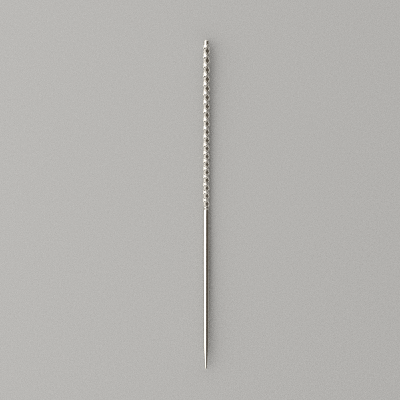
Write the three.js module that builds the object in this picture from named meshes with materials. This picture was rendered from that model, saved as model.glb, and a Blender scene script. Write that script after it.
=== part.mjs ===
// Decorative metal hair pin: a slim, gently bowed pin whose upper half carries a woven net of fine wires.
// Millimetres, +Z up. The pin lies along Y with its decorated end towards +Y and its pointed end towards -Y,
// and both ends curve up from the surface it lies on. The origin is the bottom centre of its bounding box.
import * as THREE from "three";

// The pin's solid core: a slim waist under the net, a shoulder, a shank and a point. Distances along it are
// counted from its decorated end.
const LENGTH = 160;
const BOW_RADIUS = 1450;
const END_RADIUS = 1.36;
const END_ROUNDING = 0.65;
const WAIST_FROM = 2;
const WAIST_TO = 50;
const WAIST_RADIUS = 1.3;
const SHOULDER_FROM = 81.6;
const SHOULDER_TO = 82.8;
const SHANK_RADIUS = 1.63;
const NECK_RADIUS = 1.33;
const TAPER_FROM = 100;
const POINT_FROM = 146;
const POINT_FULLNESS = 1.6;
const NOSE_RADIUS = 0.46;
const NOSE_LENGTH = 0.6;
const CORE_SIDES = 24;

// The net: strands wound both ways round the core, over and under each other, each strand a pair of wires.
const STRANDS_PER_HAND = 3;
const WIRE_WIDTH = 0.4;
const WIRE_CROWN = 0.28;
const WIRE_HEIGHT = 0.14;
const WIRE_SPACING = 0.46;
const CLEARANCE = 0.045;

// The net's cells are the stretches between one crossing and the next along a line parallel to the axis.
// They are longest at the decorated end and shorten over the first cells to a steady length.
const CROSSING_RINGS = 38;
const FIRST_RING_AT = 3.25;
const FIRST_RING_ANGLE = THREE.MathUtils.degToRad(25);
const FIRST_CELL = 4.59;
const STEADY_CELL = 3.83;
const CELLS_TO_STEADY = 14.7;
const STEPS_PER_CELL = 6;
const LIFT_HALF = 1 / 6;
const LIFT_FOOT = 1 / 3;
const NET_LEAD = 1 / 6;
const NET_TAIL = 0.35;

const LAST_RING = (CROSSING_RINGS - 1) / 2;
const NET_FROM = -NET_LEAD;
const NET_TO = LAST_RING + NET_TAIL;
const STRAND_TURN = (2 * Math.PI) / STRANDS_PER_HAND;
const LAYER = WIRE_HEIGHT + CLEARANCE;

const coreMaterial = new THREE.MeshStandardMaterial({ color: 0xc8c4bd, metalness: 1, roughness: 0.16 });
const wireMaterials = {
  right: new THREE.MeshStandardMaterial({ color: 0xd2cec6, metalness: 1, roughness: 0.2 }),
  left: new THREE.MeshStandardMaterial({ color: 0xcdc9c1, metalness: 1, roughness: 0.22 }),
};

function share(value, from, to) {
  return THREE.MathUtils.clamp((value - from) / (to - from), 0, 1);
}

function ease(value, from, to) {
  return THREE.MathUtils.smoothstep(value, from, to);
}

// Radius of the core at a distance from its decorated end.
function coreRadius(at) {
  const noseFrom = LENGTH - NOSE_LENGTH;
  if (at < END_ROUNDING) {
    return END_RADIUS * Math.sqrt(1 - (1 - at / END_ROUNDING) ** 2);
  }
  if (at < SHOULDER_FROM) {
    return THREE.MathUtils.lerp(END_RADIUS, WAIST_RADIUS, ease(at, WAIST_FROM, WAIST_TO));
  }
  if (at < TAPER_FROM) {
    return THREE.MathUtils.lerp(WAIST_RADIUS, SHANK_RADIUS, ease(at, SHOULDER_FROM, SHOULDER_TO));
  }
  if (at < POINT_FROM) {
    return THREE.MathUtils.lerp(SHANK_RADIUS, NECK_RADIUS, ease(at, TAPER_FROM, POINT_FROM));
  }
  if (at < noseFrom) {
    return THREE.MathUtils.lerp(NECK_RADIUS, NOSE_RADIUS, share(at, POINT_FROM, noseFrom) ** POINT_FULLNESS);
  }
  return NOSE_RADIUS * Math.sqrt(1 - Math.min(1, (at - noseFrom) / NOSE_LENGTH) ** 2);
}

// Where a straight pin's point lies once the pin is bowed: the axis becomes an arc, ends up.
function bow(point) {
  const turn = point.y / BOW_RADIUS;
  const reach = BOW_RADIUS - point.z;
  return point.set(point.x, reach * Math.sin(turn), BOW_RADIUS - reach * Math.cos(turn));
}

// Carries every corner of a geometry through a mapping of points, then bows it with the rest of the pin.
function formed(geometry, mapping) {
  const position = geometry.getAttribute("position");
  const point = new THREE.Vector3();
  for (let i = 0; i < position.count; i += 1) {
    bow(mapping(point.fromBufferAttribute(position, i)));
    position.setXYZ(i, point.x, point.y, point.z);
  }
  geometry.deleteAttribute("uv");
  geometry.computeVertexNormals();
  return geometry;
}

// Distances from one station to the next, crowded towards a rounded end where the outline turns fastest.
function stations(from, to, count, roundedEnd = "none") {
  const places = [];
  for (let i = 0; i < count; i += 1) {
    const even = i / count;
    const turned = {
      none: even,
      first: 1 - Math.cos((even * Math.PI) / 2),
      last: Math.sin((even * Math.PI) / 2),
    };
    places.push(THREE.MathUtils.lerp(from, to, turned[roundedEnd]));
  }
  return places;
}

function corePin() {
  const places = [
    ...stations(0, END_ROUNDING, 4, "first"),
    ...stations(END_ROUNDING, WAIST_FROM, 1),
    ...stations(WAIST_FROM, WAIST_TO, 10),
    ...stations(WAIST_TO, SHOULDER_FROM, 4),
    ...stations(SHOULDER_FROM, SHOULDER_TO, 3),
    ...stations(SHOULDER_TO, TAPER_FROM, 2),
    ...stations(TAPER_FROM, POINT_FROM, 7),
    ...stations(POINT_FROM, LENGTH - NOSE_LENGTH, 8),
    ...stations(LENGTH - NOSE_LENGTH, LENGTH, 3, "last"),
    LENGTH,
  ];
  const outline = places.map((at) => new THREE.Vector2(coreRadius(at), LENGTH / 2 - at)).reverse();
  const geometry = new THREE.LatheGeometry(outline, CORE_SIDES);
  const mesh = new THREE.Mesh(formed(geometry, (point) => point), coreMaterial);
  mesh.name = "core_pin";
  return mesh;
}

// Distance along the core reached after a number of cells, counted from the first ring of crossings.
function cellsToDistance(cells) {
  const eased = THREE.MathUtils.clamp(cells, 0, CELLS_TO_STEADY);
  const swing = (CELLS_TO_STEADY / (2 * Math.PI)) * Math.sin((Math.PI * eased) / CELLS_TO_STEADY);
  const shortened = eased / 2 - swing + Math.max(0, cells - CELLS_TO_STEADY);
  return FIRST_RING_AT + FIRST_CELL * cells + (STEADY_CELL - FIRST_CELL) * shortened;
}

function cellLength(cells) {
  const eased = share(cells, 0, CELLS_TO_STEADY);
  return THREE.MathUtils.lerp(FIRST_CELL, STEADY_CELL, (1 - Math.cos(Math.PI * eased)) / 2);
}

// How far a strand has climbed, from 0 on the core to 1 on top of a crossing strand. Right-hand strands pass
// over at every second ring of crossings, and left-hand strands at the rings between.
function climb(cells, hand) {
  const firstOver = hand > 0 ? 0 : 0.5;
  const nearest = firstOver + Math.round(cells - firstOver);
  if (nearest < 0 || nearest > LAST_RING) {
    return 0;
  }
  return 1 - share(Math.abs(cells - nearest), LIFT_HALF, LIFT_FOOT);
}

// Section of one wire: a low strip with a crowned top, standing on y = 0.
function wireSection(offset) {
  const section = new THREE.Shape();
  section.moveTo(offset - WIRE_WIDTH / 2, 0);
  section.lineTo(offset + WIRE_WIDTH / 2, 0);
  section.lineTo(offset + WIRE_CROWN / 2, WIRE_HEIGHT);
  section.lineTo(offset - WIRE_CROWN / 2, WIRE_HEIGHT);
  section.closePath();
  return section;
}

// One wire, made straight and then wound on the core: x is across the strand, y is height, z counts cells.
function woundWire(hand, strand, offset) {
  const steps = Math.round((NET_TO - NET_FROM) * STEPS_PER_CELL);
  const geometry = new THREE.ExtrudeGeometry(wireSection(offset), {
    depth: NET_TO - NET_FROM,
    steps,
    bevelEnabled: false,
  });
  return formed(geometry, (point) => {
    const cells = NET_FROM + point.z;
    const centre = cellsToDistance(cells);
    const radius = coreRadius(centre) + CLEARANCE + LAYER * climb(cells, hand);
    const slant = Math.atan2(radius * STRAND_TURN, cellLength(cells));
    const at = centre - hand * point.x * Math.sin(slant);
    const angle =
      FIRST_RING_ANGLE + STRAND_TURN * (strand + hand * cells) + (point.x * Math.cos(slant)) / radius;
    const height = radius + point.y;
    return point.set(height * Math.sin(angle), LENGTH / 2 - at, height * Math.cos(angle));
  });
}

function netWires() {
  const wires = [];
  for (const [handName, hand] of [["right", 1], ["left", -1]]) {
    for (let strand = 0; strand < STRANDS_PER_HAND; strand += 1) {
      for (const [wireName, side] of [["a", -1], ["b", 1]]) {
        const geometry = woundWire(hand, strand, (side * WIRE_SPACING) / 2);
        const mesh = new THREE.Mesh(geometry, wireMaterials[handName]);
        mesh.name = `${handName}_hand_strand_${strand + 1}_wire_${wireName}`;
        wires.push(mesh);
      }
    }
  }
  return wires;
}

const hairPin = new THREE.Group();
hairPin.add(corePin(), ...netWires());

// Sets the origin at the bottom centre of the finished pin.
const box = new THREE.Box3().setFromObject(hairPin, true);
const middle = box.getCenter(new THREE.Vector3());
hairPin.position.set(-middle.x, -middle.y, -box.min.z);

export default hairPin;
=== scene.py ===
"""Looks of the decorative hair pin: a polished, gently bowed metal pin with a woven net of paired wires.

Distances along the pin are counted from its decorated end, in metres, as are all other sizes. The pin lies
along Y on the floor with its decorated end towards +Y, and its ends curve up.
"""

import math

import bpy
import numpy as np
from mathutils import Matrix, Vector


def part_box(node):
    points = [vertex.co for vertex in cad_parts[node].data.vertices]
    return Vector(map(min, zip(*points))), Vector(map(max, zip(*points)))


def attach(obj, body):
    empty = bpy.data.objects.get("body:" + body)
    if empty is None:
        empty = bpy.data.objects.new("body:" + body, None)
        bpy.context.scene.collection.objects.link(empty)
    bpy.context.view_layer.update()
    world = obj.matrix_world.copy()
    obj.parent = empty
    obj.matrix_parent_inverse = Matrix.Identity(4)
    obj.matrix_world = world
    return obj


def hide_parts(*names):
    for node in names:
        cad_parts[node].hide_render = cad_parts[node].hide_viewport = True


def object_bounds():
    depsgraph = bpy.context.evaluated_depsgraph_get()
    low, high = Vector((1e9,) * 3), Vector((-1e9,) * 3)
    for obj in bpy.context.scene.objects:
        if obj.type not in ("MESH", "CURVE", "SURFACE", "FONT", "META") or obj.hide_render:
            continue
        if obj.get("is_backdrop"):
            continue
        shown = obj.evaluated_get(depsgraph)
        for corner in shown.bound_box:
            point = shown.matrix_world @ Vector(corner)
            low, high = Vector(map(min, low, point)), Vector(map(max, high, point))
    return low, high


MM = 0.001

# The core, as in the solids: a slim waist under the net, a shoulder, a shank and a point.
LENGTH = 160 * MM
BOW_RADIUS = 1450 * MM
END_RADIUS = 1.36 * MM
END_ROUNDING = 0.65 * MM
WAIST_FROM = 2 * MM
WAIST_TO = 50 * MM
WAIST_RADIUS = 1.3 * MM
SHOULDER_FROM = 81.6 * MM
SHOULDER_TO = 82.8 * MM
SHANK_RADIUS = 1.63 * MM
NECK_RADIUS = 1.33 * MM
TAPER_FROM = 100 * MM
POINT_FROM = 146 * MM
POINT_FULLNESS = 1.6
NOSE_RADIUS = 0.46 * MM
NOSE_LENGTH = 0.6 * MM

# Rings of the core's mesh, closest where its outline turns and under the net. At its two ends they are
# spaced by shares of a quarter turn.
CORE_SIDES = 112
END_RINGS = 14
LEAST_TURN = 0.02
NET_RING_STEP = 0.16 * MM
SHANK_RING_STEP = 1.0 * MM
POINT_RING_STEP = 0.25 * MM
PAST_ROUNDING = 0.1 * MM
PAST_NET = 1.5 * MM
BEFORE_POINT = 2 * MM

# The net, as in the solids. A cell is the stretch between two crossings along a line parallel to the axis.
# Places on the net are counted in cells from its first ring of crossings. A hand is the way a strand winds,
# and a side is where a wire lies in its strand.
HANDS = {"right": 1, "left": -1}
WIRE_SIDES = {"a": -1, "b": 1}
STRANDS_PER_HAND = 3
STRAND_TURN = 2 * math.pi / STRANDS_PER_HAND
CROSSING_RINGS = 38
LAST_RING = (CROSSING_RINGS - 1) / 2
FIRST_RING_AT = 3.25 * MM
FIRST_RING_ANGLE = math.radians(25)
FIRST_CELL = 4.59 * MM
STEADY_CELL = 3.83 * MM
CELLS_TO_STEADY = 14.7
NET_LEAD = 1 / 6
NET_TAIL = 0.35
NET_FROM = -NET_LEAD
NET_TO = LAST_RING + NET_TAIL
NET_KNOTS = 1200

# Wires, narrower, taller and rounder than the strips that stand for them in the solids. A strand that passes
# over another rises by OVER_LIFT between OVER_FOOT and OVER_HALF of a cell from the crossing. That is less
# than a wire's height, so crossing wires run into each other. A wire rounds off over WIRE_END at its ends.
WIRE_WIDTH = 0.35 * MM
WIRE_HEIGHT = 0.30 * MM
WIRE_SPACING = 0.46 * MM
WIRE_SUNK = 0.02 * MM
CROWN_POINTS = 13
STEPS_PER_CELL = 26
OVER_HALF = 0.12
OVER_FOOT = 0.36
OVER_LIFT = 0.05 * MM
WIRE_END = 0.3 * MM
WIRE_END_LEAST = 0.04

# Braze that fills the corners beside the wires and leaves a dish in the middle of each diamond between them.
# The dish is deeper than the braze is high, so its middle is cut a little way into the core.
BRAZE_RISE = 0.27 * MM
DISH_DEPTH = 0.35 * MM
DISH_POWER = 1.4
BRAZE_EDGE = 0.25 * MM
CREVICE_EDGE = 0.1 * MM

# Reflectances and roughnesses of the plating and the board. Painted shade on the core fades over its reach
# from a wire.
POLISHED = 0.70
SMUDGED = 0.66
SHADE_BESIDE_WIRES = 0.12
SHADE_REACH = 0.07 * MM
SHADE_STRENGTH = 0.75
CORE_ROUGHNESS = 0.07
WIRE_CROWN = 0.68
# The wires' lower flanks are coloured dark as painted shade.
WIRE_SHADED_FLANK = 0.16
WIRE_ROUGHNESS = 0.10
FLOOR = 0.46
FLOOR_REACH = 4.0
BOARD_CONTRAST = 0.012

# Fineness of the surface patterns, in noise cells to the metre, and depth of the marks that they leave.
LINE_FINENESS = 9000
SMUDGE_FINENESS = 420
SPECK_FINENESS = 5200
WIRE_GRAIN_FINENESS = 3800
LEFT_WIRE_SHIFT = 350
BOARD_GRAIN_FINENESS = 1400
BOARD_CLOUD_FINENESS = 22
LINE_DEPTH = 0.004 * MM
WIRE_MARK_DEPTH = 0.008 * MM
BOARD_GRAIN_DEPTH = 0.03 * MM

# Tints: red, green and blue of each colour as shares of its level.
PLATING_TINT = (1, 0.965, 0.89)
# The next tint is the warm brown of the painted shade beside the wires and on the wires' flanks.
SHADE_TINT = (1, 0.85, 0.68)
BOARD_TINT = (1, 1, 0.985)
LAMP_TINT = (1, 0.995, 0.985)
LOW_ROOM_TINT = (1, 0.95, 0.9)
OVERHEAD_TINT = (1, 0.84, 0.66)

# Lights. The side panel's angle is counted from straight above the pin towards its left. The room is darkest
# a little above the horizon, and bright in line with the pin's two ends.
KEY_DIRECTION = (-0.89, 1.45, 1.0)
KEY_DISTANCE = 1.6
KEY_SIZE = 0.45
KEY_RADIANCE = 3.1
SIDE_ANGLE = math.radians(42.8)
SIDE_DISTANCE = 1.1
SIDE_LENGTH = 1.2
SIDE_WIDTH = 1.8
SIDE_RADIANCE = 1.8
OVERHEAD = 0.125
LOW_ROOM = 0.06
HORIZON = 0.17
ENDWAYS = 1.84
ENDWAYS_FROM = 0.49
ENDWAYS_TO = 0.85

# Camera, straight above, as far off as a portrait lens needs to take in the frame's width. PIXEL_SPREAD is
# the width of the pixel filter, in pixels.
FRAME_WIDTH = 194.5 * MM
FRAME_OFFSET = Vector((-3.0 * MM, 2.22 * MM, 0))
FRAME_ROLL = math.radians(0.07)
LENS = 100.0
SENSOR = 36.0
PIXEL_SPREAD = 1.15

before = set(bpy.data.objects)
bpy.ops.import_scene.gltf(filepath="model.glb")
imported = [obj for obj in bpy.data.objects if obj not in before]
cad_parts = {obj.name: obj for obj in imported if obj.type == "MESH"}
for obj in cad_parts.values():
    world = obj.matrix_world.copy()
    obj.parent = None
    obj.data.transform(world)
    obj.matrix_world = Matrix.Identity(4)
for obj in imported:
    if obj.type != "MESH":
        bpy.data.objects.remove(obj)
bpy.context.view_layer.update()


def smooth_share(value, start, end):
    share = np.clip((value - start) / (end - start), 0, 1)
    return share * share * (3 - 2 * share)


# ---------------------------------------------------------------- the pin's shape


def core_radius(at):
    """Radius of the core at distances along it."""
    at = np.asarray(at, float)
    nose_from = LENGTH - NOSE_LENGTH
    waisted = END_RADIUS + (WAIST_RADIUS - END_RADIUS) * smooth_share(at, WAIST_FROM, WAIST_TO)
    waisted = waisted + (SHANK_RADIUS - WAIST_RADIUS) * smooth_share(at, SHOULDER_FROM, SHOULDER_TO)
    tapered = SHANK_RADIUS + (NECK_RADIUS - SHANK_RADIUS) * smooth_share(at, TAPER_FROM, POINT_FROM)
    point_share = np.clip((at - POINT_FROM) / (nose_from - POINT_FROM), 0, 1)
    pointed = NECK_RADIUS + (NOSE_RADIUS - NECK_RADIUS) * point_share**POINT_FULLNESS
    rounded = np.sqrt(np.clip(1 - (1 - np.clip(at / END_ROUNDING, 0, 1)) ** 2, 0, 1))
    nose = np.sqrt(np.clip(1 - np.clip((at - nose_from) / NOSE_LENGTH, 0, 1) ** 2, 0, 1))
    radius = np.where(at < TAPER_FROM, waisted, np.where(at < POINT_FROM, tapered, pointed))
    return radius * rounded * nose


def cells_to_distance(cells):
    """Distance along the core reached after a number of cells from the first ring of crossings."""
    eased = np.clip(cells, 0, CELLS_TO_STEADY)
    swing = CELLS_TO_STEADY / (2 * math.pi) * np.sin(math.pi * eased / CELLS_TO_STEADY)
    shortened = eased / 2 - swing + np.maximum(0, cells - CELLS_TO_STEADY)
    return FIRST_RING_AT + FIRST_CELL * cells + (STEADY_CELL - FIRST_CELL) * shortened


def cell_length(cells):
    eased = np.clip(cells, 0, CELLS_TO_STEADY) / CELLS_TO_STEADY
    return FIRST_CELL + (STEADY_CELL - FIRST_CELL) * (1 - np.cos(math.pi * eased)) / 2


def climb(cells, hand):
    """How far a strand has risen for a crossing, from 0 on the core to 1 at its full lift."""
    first_over = 0 if hand > 0 else 0.5
    nearest = first_over + np.round(cells - first_over)
    crossing = (nearest >= 0) & (nearest <= LAST_RING)
    return crossing * (1 - smooth_share(np.abs(cells - nearest), OVER_HALF, OVER_FOOT))


def slant_of(radius, cells):
    """Angle between a strand and the axis."""
    return np.arctan2(radius * STRAND_TURN, cell_length(cells))


def placed(at, angle, height):
    """Points of the bowed pin. The angle is counted round the axis from the top towards +X."""
    x = height * np.sin(angle)
    y = LENGTH / 2 - at
    z = height * np.cos(angle)
    turn = y / BOW_RADIUS
    reach = BOW_RADIUS - z
    return np.stack([x, reach * np.sin(turn), BOW_RADIUS - reach * np.cos(turn)], axis=-1)


# ---------------------------------------------------------------- meshes


def skin_faces(count, sides):
    """Faces between rings of points, with a fan at each end to a point that follows those of the rings."""
    start = np.arange(count - 1)[:, None] * sides
    here = start + np.arange(sides)
    beside = start + (np.arange(sides) + 1) % sides
    walls = np.stack([here, beside, beside + sides, here + sides], axis=-1).reshape(-1, 4)
    faces = walls.tolist()
    last = (count - 1) * sides
    for i in range(sides):
        after = (i + 1) % sides
        faces.append([after, i, count * sides])
        faces.append([last + i, last + after, count * sides + 1])
    return faces


def skin(name, rings, attributes=None, uv=None):
    """A closed mesh from an array of rings of points, each end closed by a fan to the ring's middle.

    attributes maps a name to one value for each point of the rings. uv gives two values for each point."""
    first_middle = rings[0].mean(axis=0)
    last_middle = rings[-1].mean(axis=0)
    points = np.concatenate([rings.reshape(-1, 3), [first_middle, last_middle]])
    faces = skin_faces(*rings.shape[:2])
    mesh = bpy.data.meshes.new(name)
    mesh.from_pydata(points.tolist(), [], faces)
    mesh.polygons.foreach_set("use_smooth", np.ones(len(faces), bool))
    for key, values in (attributes or {}).items():
        layer = mesh.attributes.new(key, "FLOAT", "POINT")
        ends = [values[0].mean(), values[-1].mean()]
        layer.data.foreach_set("value", np.concatenate([values.ravel(), ends]).astype(np.float32))
    if uv is not None:
        layer = mesh.uv_layers.new(name="along")
        ends = [uv[0].mean(axis=0), uv[-1].mean(axis=0)]
        corners = np.concatenate([uv.reshape(-1, 2), ends])
        index = np.zeros(len(mesh.loops), np.int32)
        mesh.loops.foreach_get("vertex_index", index)
        layer.data.foreach_set("uv", corners[index].astype(np.float32).ravel())
    mesh.update()
    piece = bpy.data.objects.new(name, mesh)
    bpy.context.scene.collection.objects.link(piece)
    return piece


def spread(start, end, step):
    """Even distances from start up to, but not including, end."""
    return np.linspace(start, end, max(1, round((end - start) / step)), endpoint=False)


def core_stations():
    """Distances at which the core has a ring."""
    end_to = END_ROUNDING + PAST_ROUNDING
    fine_to = float(cells_to_distance(NET_TO)) + PAST_NET
    point_from = POINT_FROM - BEFORE_POINT
    nose_from = LENGTH - NOSE_LENGTH
    end_turn = np.linspace(LEAST_TURN, 1, END_RINGS) * math.pi / 2
    nose_turn = np.linspace(0, 1 - LEAST_TURN, END_RINGS) * math.pi / 2
    return np.concatenate(
        [
            END_ROUNDING * (1 - np.cos(end_turn)),
            spread(end_to, fine_to, NET_RING_STEP),
            spread(fine_to, point_from, SHANK_RING_STEP),
            spread(point_from, nose_from, POINT_RING_STEP),
            nose_from + NOSE_LENGTH * np.sin(nose_turn),
        ]
    )


def core_grid():
    """Distances and angles of every point of the core's rings."""
    at = core_stations()[:, None]
    angle = np.linspace(0, 2 * math.pi, CORE_SIDES, endpoint=False)[None, :]
    return np.broadcast_arrays(at, angle)


def cells_at(at):
    """Cells from the first ring of crossings to distances along the core."""
    knots = np.linspace(NET_FROM, NET_TO, NET_KNOTS)
    return np.interp(at, cells_to_distance(knots), knots)


def strand_turns(cells, angle, hand):
    """How far angles lie past a strand of one hand, in turns from one strand to the next."""
    return (angle - FIRST_RING_ANGLE) / STRAND_TURN - hand * cells


def braze_height(at, angle):
    """How far the braze stands over the core's outline. It is below 0 where a dish is cut into the core."""
    cells = cells_at(at)
    middle = np.ones(at.shape)
    for hand in HANDS.values():
        middle = middle * np.abs(np.sin(math.pi * strand_turns(cells, angle, hand)))
    first, last = cells_to_distance(NET_FROM), cells_to_distance(NET_TO)
    covered = smooth_share(at, first, first + BRAZE_EDGE) * smooth_share(at, last, last - BRAZE_EDGE)
    return covered * (BRAZE_RISE - DISH_DEPTH * middle**DISH_POWER)


def shade_beside_wires_at(at, angle):
    """1 where the core meets a strand and 0 well away from one: the mask of the painted shade beside the
    wires.
    """
    cells = cells_at(at)
    radius = core_radius(at)
    slant = slant_of(radius, cells)
    nearest = np.full(at.shape, 1.0)
    for hand in HANDS.values():
        past = strand_turns(cells, angle, hand)
        past = (past - np.round(past)) * STRAND_TURN
        across = np.abs(past) * radius * np.cos(slant)
        nearest = np.minimum(nearest, across)
    edge = (WIRE_SPACING + WIRE_WIDTH) / 2
    beside = np.exp(-np.clip(nearest - edge, 0, 1) / SHADE_REACH)
    beyond = np.maximum(cells_to_distance(NET_FROM) - at, at - cells_to_distance(NET_TO))
    return beside * np.exp(-np.clip(beyond, 0, 1) / CREVICE_EDGE)


def make_core():
    """The core, with the braze between the wires on it."""
    at, angle = core_grid()
    rings = placed(at, angle, core_radius(at) + braze_height(at, angle))
    return skin("polished_core_pin", rings, {"shade_beside_wires_mask": shade_beside_wires_at(at, angle)})


def wire_section():
    """Section of a wire as offsets across and up, crowned above and sunk a little into what it lies on."""
    turned = np.linspace(math.pi, 0, CROWN_POINTS)
    across = WIRE_WIDTH / 2 * np.cos(turned)
    up = (WIRE_HEIGHT + WIRE_SUNK) * np.sin(turned) - WIRE_SUNK
    return across, up


def make_wire(hand_name, strand, wire_name):
    """One wire wound on the core, its rings spaced evenly in cells."""
    hand = HANDS[hand_name]
    side = WIRE_SIDES[wire_name]
    steps = round((NET_TO - NET_FROM) * STEPS_PER_CELL)
    cells = np.linspace(NET_FROM, NET_TO, steps + 1)[:, None]
    centre = cells_to_distance(cells)
    across, up = wire_section()
    from_end = np.minimum(centre - centre[0], centre[-1] - centre)
    end_share = np.clip(from_end / WIRE_END, WIRE_END_LEAST, 1)
    full = np.sqrt(np.clip(1 - (1 - end_share) ** 2, 0, 1))
    radius = core_radius(centre) + OVER_LIFT * climb(cells, hand)
    slant = slant_of(radius, cells)
    offset = side * WIRE_SPACING / 2 + across[None, :] * full
    at = centre - hand * offset * np.sin(slant)
    angle = FIRST_RING_ANGLE + STRAND_TURN * (strand + hand * cells) + offset * np.cos(slant) / radius
    height = radius + (up[None, :] + WIRE_SUNK) * full - WIRE_SUNK
    rings = placed(at, angle, height)
    # Height within the wire's section, which the wire metal turns into painted shade on the flanks.
    crown = np.broadcast_to(np.clip(up / WIRE_HEIGHT, 0, 1), height.shape)
    along = np.broadcast_to(cells, height.shape)
    around = np.broadcast_to(np.linspace(0, 1, CROWN_POINTS), height.shape)
    name = f"{hand_name}_hand_strand_{strand + 1}_wire_{wire_name}"
    wire = skin(f"fine_{name}", rings, {"crown": crown}, np.stack([along, around], axis=-1))
    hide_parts(name)
    return wire


def make_strands(hand_name):
    """All the wires of one hand."""
    return [
        make_wire(hand_name, strand, wire_name)
        for strand in range(STRANDS_PER_HAND)
        for wire_name in WIRE_SIDES
    ]


# ---------------------------------------------------------------- materials


def new_material(name):
    material = bpy.data.materials.new(name)
    material.use_nodes = True
    tree = material.node_tree
    return material, tree, tree.nodes["Principled BSDF"]


def add_node(tree, kind, values=None, **properties):
    """A node with its properties set and its inputs given values or links, by input name."""
    node = tree.nodes.new(kind)
    for key, value in properties.items():
        setattr(node, key, value)
    for key, value in (values or {}).items():
        if isinstance(value, bpy.types.NodeSocket):
            tree.links.new(value, node.inputs[key])
        else:
            node.inputs[key].default_value = value
    return node


def maths(tree, operation, first, second):
    node = add_node(tree, "ShaderNodeMath", operation=operation)
    for socket, value in zip(node.inputs, (first, second)):
        if isinstance(value, bpy.types.NodeSocket):
            tree.links.new(value, socket)
        else:
            socket.default_value = value
    return node.outputs[0]


def ramp(tree, factor, stops):
    """Colour ramp from (position, grey level or colour) stops."""
    node = add_node(tree, "ShaderNodeValToRGB", {"Fac": factor})
    elements = node.color_ramp.elements
    while len(elements) < len(stops):
        elements.new(0.5)
    for element, (position, level) in zip(elements, stops):
        element.position = position
        colour = (level, level, level) if isinstance(level, (int, float)) else level
        element.color = (*colour, 1)
    return node.outputs["Color"]


def noise(tree, vector, scale, detail, roughness=0.5):
    values = {"Vector": vector, "Scale": scale, "Detail": detail, "Roughness": roughness}
    return add_node(tree, "ShaderNodeTexNoise", values).outputs["Fac"]


def roughen(tree, shader, height, strength, depth):
    """Gives a surface fine relief from a pattern."""
    values = {"Strength": strength, "Distance": depth, "Height": height}
    bump = add_node(tree, "ShaderNodeBump", values)
    tree.links.new(bump.outputs["Normal"], shader.inputs["Normal"])


def stretched(tree, vector, factors):
    """A place multiplied along each axis. A pattern is drawn out along an axis whose factor is small."""
    node = add_node(tree, "ShaderNodeVectorMath", operation="MULTIPLY")
    tree.links.new(vector, node.inputs[0])
    node.inputs[1].default_value = factors
    return node.outputs[0]


def blended(tree, factor, first, second):
    """A mix of two colours, from the first at 0 to the second at 1."""
    node = add_node(tree, "ShaderNodeMix", data_type="RGBA")
    sockets = {socket.identifier: socket for socket in node.inputs}
    for key, value in (("Factor_Float", factor), ("A_Color", first), ("B_Color", second)):
        if isinstance(value, bpy.types.NodeSocket):
            tree.links.new(value, sockets[key])
        elif key == "Factor_Float":
            sockets[key].default_value = value
        else:
            sockets[key].default_value = (*value, 1)
    return next(socket for socket in node.outputs if socket.identifier == "Result_Color")


def tinted(level, tint):
    return tuple(share * level for share in tint)


def plating(level):
    return tinted(level, PLATING_TINT)


# Colour of the painted shade beside the wires and on the wires' flanks.
def shade_colour(level):
    return tinted(level, SHADE_TINT)


def board(level):
    return tinted(level, BOARD_TINT)


def core_metal():
    """Polished plating: faint polishing lines along the pin, smudges, and patchy painted shade where the
    wires lie.
    """
    material, tree, shader = new_material("polished_core_metal")
    place = add_node(tree, "ShaderNodeTexCoord").outputs["Object"]
    shade_beside_wires_mask = add_node(tree, "ShaderNodeAttribute", attribute_name="shade_beside_wires_mask").outputs["Fac"]
    lines = noise(tree, stretched(tree, place, (1, 0.03, 1)), LINE_FINENESS, 3, 0.6)
    smudges = noise(tree, place, SMUDGE_FINENESS, 3)
    specks = noise(tree, place, SPECK_FINENESS, 2)
    # Painted shade: the plating is darkened in patches beside the wires, where the corners by the wires fall
    # in shade.
    patchy_shade = maths(tree, "MULTIPLY", shade_beside_wires_mask, ramp(tree, specks, [(0.3, 0.55), (0.7, 1.0)]))
    bright = blended(tree, smudges, plating(POLISHED), plating(SMUDGED))
    colour = blended(tree, maths(tree, "MULTIPLY", patchy_shade, SHADE_STRENGTH), bright, shade_colour(SHADE_BESIDE_WIRES))
    tree.links.new(colour, shader.inputs["Base Color"])
    smudged = ramp(tree, smudges, [(0.35, CORE_ROUGHNESS - 0.02), (0.7, CORE_ROUGHNESS + 0.03)])
    rough = maths(tree, "ADD", smudged, maths(tree, "MULTIPLY", patchy_shade, 0.25))
    lined = maths(tree, "ADD", rough, maths(tree, "MULTIPLY", lines, 0.03))
    tree.links.new(lined, shader.inputs["Roughness"])
    roughen(tree, shader, lines, 0.25, LINE_DEPTH)
    shader.inputs["Metallic"].default_value = 1
    return material


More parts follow.
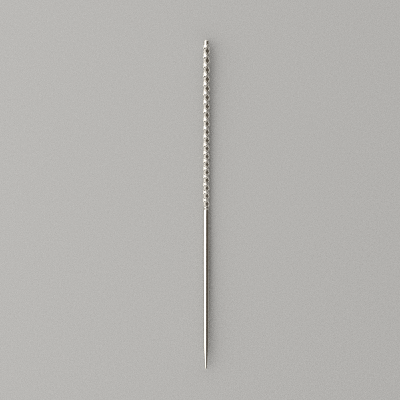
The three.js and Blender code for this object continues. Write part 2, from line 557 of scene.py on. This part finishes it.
def wire_metal(name, shift):
    """Drawn wire: marks along its length, and painted shade that darkens its flanks below a bright crown,
    their border broken by grain.
    """
    material, tree, shader = new_material(name)
    place = add_node(tree, "ShaderNodeTexCoord").outputs["Object"]
    along = add_node(tree, "ShaderNodeUVMap", uv_map="along").outputs["UV"]
    crown = add_node(tree, "ShaderNodeAttribute", attribute_name="crown").outputs["Fac"]
    marks = noise(tree, stretched(tree, along, (1.5, 14, 1)), 3, 4, 0.65)
    grain = noise(tree, place, WIRE_GRAIN_FINENESS + shift, 3)
    # Painted shade: the wire is coloured dark on its lower flanks and bright on its crown by height in its
    # section, the border broken by grain.
    crown_height_and_grain = maths(tree, "ADD", crown, maths(tree, "MULTIPLY", maths(tree, "SUBTRACT", grain, 0.5), 0.5))
    unshaded_crown_share = ramp(tree, crown_height_and_grain, [(0.1, 0.0), (0.6, 1.0)])
    colour = blended(tree, unshaded_crown_share, shade_colour(WIRE_SHADED_FLANK), plating(WIRE_CROWN))
    tree.links.new(colour, shader.inputs["Base Color"])
    flank = ramp(tree, unshaded_crown_share, [(0.0, WIRE_ROUGHNESS + 0.2), (1.0, WIRE_ROUGHNESS)])
    rough = maths(tree, "ADD", flank, maths(tree, "MULTIPLY", marks, 0.08))
    tree.links.new(rough, shader.inputs["Roughness"])
    height = maths(tree, "ADD", marks, maths(tree, "MULTIPLY", grain, 0.6))
    roughen(tree, shader, height, 0.35, WIRE_MARK_DEPTH)
    shader.inputs["Metallic"].default_value = 1
    return material


def floor_paint():
    """Matt pale board with a very fine grain."""
    material, tree, shader = new_material("pale_board")
    place = add_node(tree, "ShaderNodeTexCoord").outputs["Object"]
    grain = noise(tree, place, BOARD_GRAIN_FINENESS, 3, 0.6)
    clouds = noise(tree, place, BOARD_CLOUD_FINENESS, 2)
    toned = blended(tree, grain, board(FLOOR - BOARD_CONTRAST), board(FLOOR + BOARD_CONTRAST))
    colour = blended(tree, maths(tree, "MULTIPLY", clouds, 0.3), toned, board(FLOOR - BOARD_CONTRAST / 2))
    tree.links.new(colour, shader.inputs["Base Color"])
    shader.inputs["Roughness"].default_value = 0.85
    shader.inputs["Specular IOR Level"].default_value = 0.25
    roughen(tree, shader, grain, 0.2, BOARD_GRAIN_DEPTH)
    return material


# ---------------------------------------------------------------- stage


def make_floor():
    mesh = bpy.data.meshes.new("floor")
    signs = [(-1, -1), (1, -1), (1, 1), (-1, 1)]
    corners = [(x * FLOOR_REACH, y * FLOOR_REACH, 0) for x, y in signs]
    mesh.from_pydata(corners, [], [(0, 1, 2, 3)])
    floor = bpy.data.objects.new("floor", mesh)
    bpy.context.scene.collection.objects.link(floor)
    floor.data.materials.append(floor_paint())
    floor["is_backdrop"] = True


def make_panel(name, direction, distance, size, radiance):
    """A soft rectangular light facing the pin from a direction. Its size is along and across the pin."""
    lamp = bpy.data.lights.new(name, "AREA")
    lamp.shape = "RECTANGLE"
    lamp.size, lamp.size_y = size
    lamp.energy = radiance * math.pi * size[0] * size[1]
    lamp.color = LAMP_TINT
    panel = bpy.data.objects.new(name, lamp)
    away = Vector(direction).normalized()
    panel.location = away * distance
    panel.rotation_mode = "QUATERNION"
    panel.rotation_quaternion = away.to_track_quat("Z", "Y")
    bpy.context.scene.collection.objects.link(panel)


def make_world():
    """Dim warm room, darkest a little above the horizon and bright in line with the pin's two ends."""
    world = bpy.data.worlds.new("room")
    bpy.context.scene.world = world
    world.use_nodes = True
    tree = world.node_tree
    background = tree.nodes["Background"]
    direction = add_node(tree, "ShaderNodeTexCoord").outputs["Generated"]
    split = add_node(tree, "ShaderNodeSeparateXYZ", {"Vector": direction})
    height = maths(tree, "ABSOLUTE", split.outputs["Z"], 0)
    low = tinted(LOW_ROOM, LOW_ROOM_TINT)
    high = tinted(OVERHEAD, OVERHEAD_TINT)
    overhead = ramp(tree, height, [(0.0, HORIZON), (0.15, low), (0.5, high)])
    along = maths(tree, "ABSOLUTE", split.outputs["Y"], 0)
    towards_ends = ramp(tree, along, [(ENDWAYS_FROM, 0.0), (ENDWAYS_TO, 1.0)])
    colour = blended(tree, towards_ends, overhead, (ENDWAYS, ENDWAYS, ENDWAYS))
    tree.links.new(colour, background.inputs["Color"])
    background.inputs["Strength"].default_value = 1.0


def make_camera():
    camera = bpy.data.cameras.new("camera")
    camera.lens = LENS
    camera.sensor_width = SENSOR
    camera.clip_start = 0.01
    camera.clip_end = 20
    holder = bpy.data.objects.new("camera", camera)
    low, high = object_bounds()
    middle = (low + high) / 2
    distance = FRAME_WIDTH * LENS / SENSOR
    holder.location = Vector((middle.x, middle.y, middle.z + distance)) + FRAME_OFFSET
    holder.rotation_euler = (0, 0, FRAME_ROLL)
    bpy.context.scene.collection.objects.link(holder)
    bpy.context.scene.camera = holder


def settle(pieces):
    """Moves the pieces from the pin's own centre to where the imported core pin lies."""
    low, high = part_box("core_pin")
    at, angle = core_grid()
    points = placed(at, angle, core_radius(at)).reshape(-1, 3)
    own_low, own_high = points.min(axis=0), points.max(axis=0)
    shift = Vector(
        (
            (low.x + high.x - own_low[0] - own_high[0]) / 2,
            (low.y + high.y - own_low[1] - own_high[1]) / 2,
            low.z - own_low[2],
        )
    )
    for piece in pieces:
        for vertex in piece.data.vertices:
            vertex.co += shift


def dress(piece, metal):
    """Gives a piece its metal and its slot, and lets it ride on the pin's one body."""
    piece.data.materials.append(metal)
    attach(piece, "root")


core = make_core()
wires = {hand_name: make_strands(hand_name) for hand_name in HANDS}
settle([core, *wires["right"], *wires["left"]])
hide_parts("core_pin")
dress(core, core_metal())
wire_metals = {
    "right": wire_metal("right_hand_wire_metal", 0),
    "left": wire_metal("left_hand_wire_metal", LEFT_WIRE_SHIFT),
}
for hand_name, metal in wire_metals.items():
    for wire in wires[hand_name]:
        dress(wire, metal)

make_floor()
make_world()
side_direction = (-math.sin(SIDE_ANGLE), 0, math.cos(SIDE_ANGLE))
make_panel("key_panel", KEY_DIRECTION, KEY_DISTANCE, (KEY_SIZE, KEY_SIZE), KEY_RADIANCE)
make_panel("side_panel", side_direction, SIDE_DISTANCE, (SIDE_LENGTH, SIDE_WIDTH), SIDE_RADIANCE)
make_camera()

scene = bpy.context.scene
scene.view_settings.view_transform = "Standard"
scene.cycles.use_denoising = False
scene.cycles.use_adaptive_sampling = False
scene.cycles.sampling_pattern = "BLUE_NOISE"
scene.cycles.filter_width = PIXEL_SPREAD
